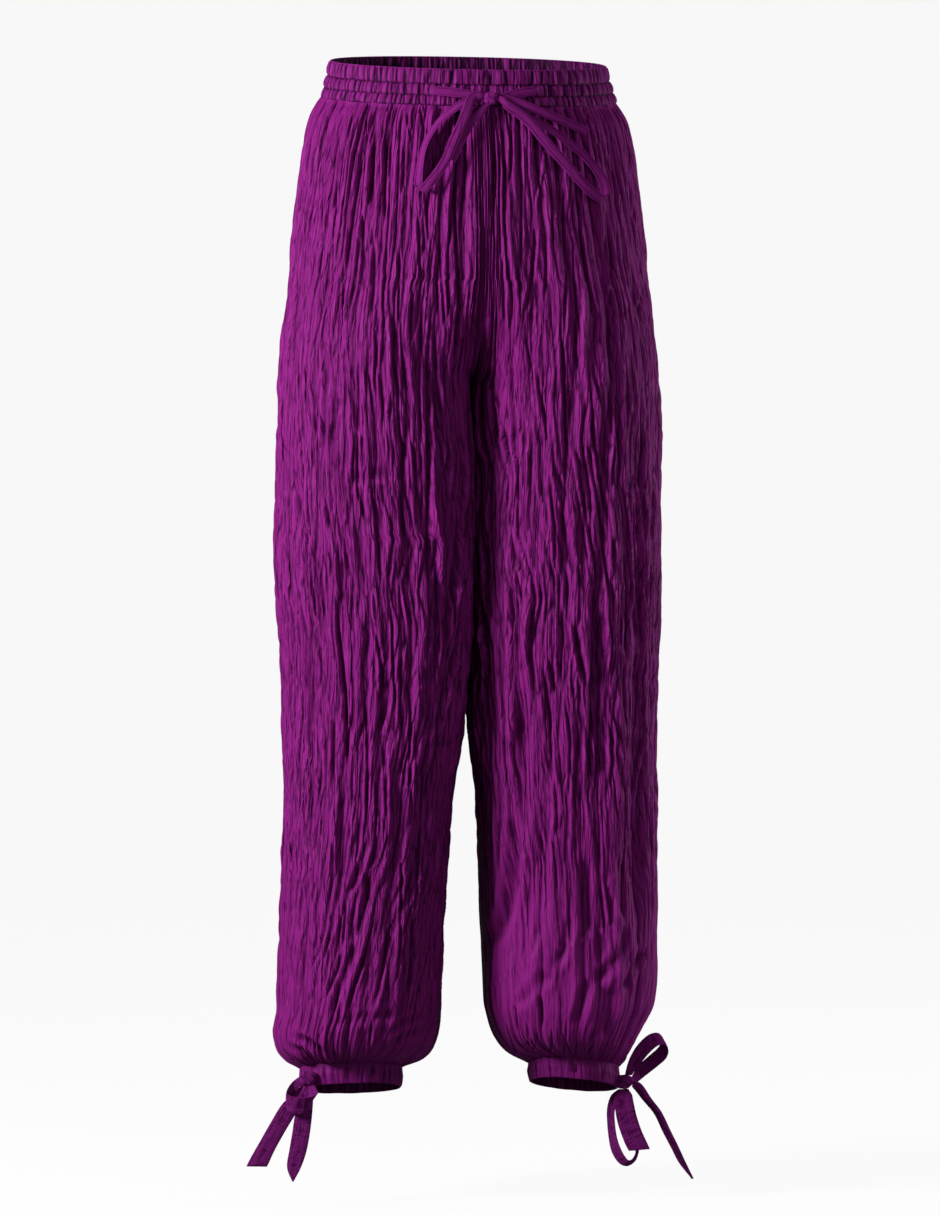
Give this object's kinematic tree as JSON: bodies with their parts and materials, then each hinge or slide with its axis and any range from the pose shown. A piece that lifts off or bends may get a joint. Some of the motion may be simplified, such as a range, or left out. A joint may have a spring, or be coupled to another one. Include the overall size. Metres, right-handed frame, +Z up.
{
  "type": "crinkled balloon joggers with drawstring waist and tie cuffs",
  "caption": "Hollow balloon joggers in crinkled purple cloth, with a gathered drawstring waistband and narrow cuffs tied in bows at the outer ankles.",
  "frame": {"origin": "middle of the waist opening, where the wearer's waist holds the garment", "axes": "+Z up towards the waist opening's way out, -Y the wearer's front, +X the wearer's left"},
  "size_m": [0.4534, 0.2532, 1.1376],
  "materials": {
    "cloth": "crinkled silky plain weave, soft sheen",
    "band": "the same cloth, gathered and stitched",
    "tie": "the same cloth, folded flat and stitched at the edges"
  },
  "bodies": {
    "root": {"left_back_leg": "cloth", "left_front_leg": "cloth", "right_back_leg": "cloth", "right_front_leg": "cloth", "waistband": "band", "left_cuff": "band", "right_cuff": "band", "drawstring_right_run": "tie", "drawstring_left_run": "tie", "drawstring_right_loop": "tie", "drawstring_left_loop": "tie", "drawstring_left_tail": "tie", "drawstring_right_tail": "tie", "drawstring_knot": "tie", "right_tie_knot": "tie", "left_tie_knot": "tie", "right_tie_loop": "tie", "right_tie_tail_a": "tie", "right_tie_tail_b": "tie", "left_tie_upper_loop": "tie", "left_tie_lower_loop": "tie", "left_tie_tail_a": "tie", "left_tie_tail_b": "tie"}
  },
  "joints": []
}
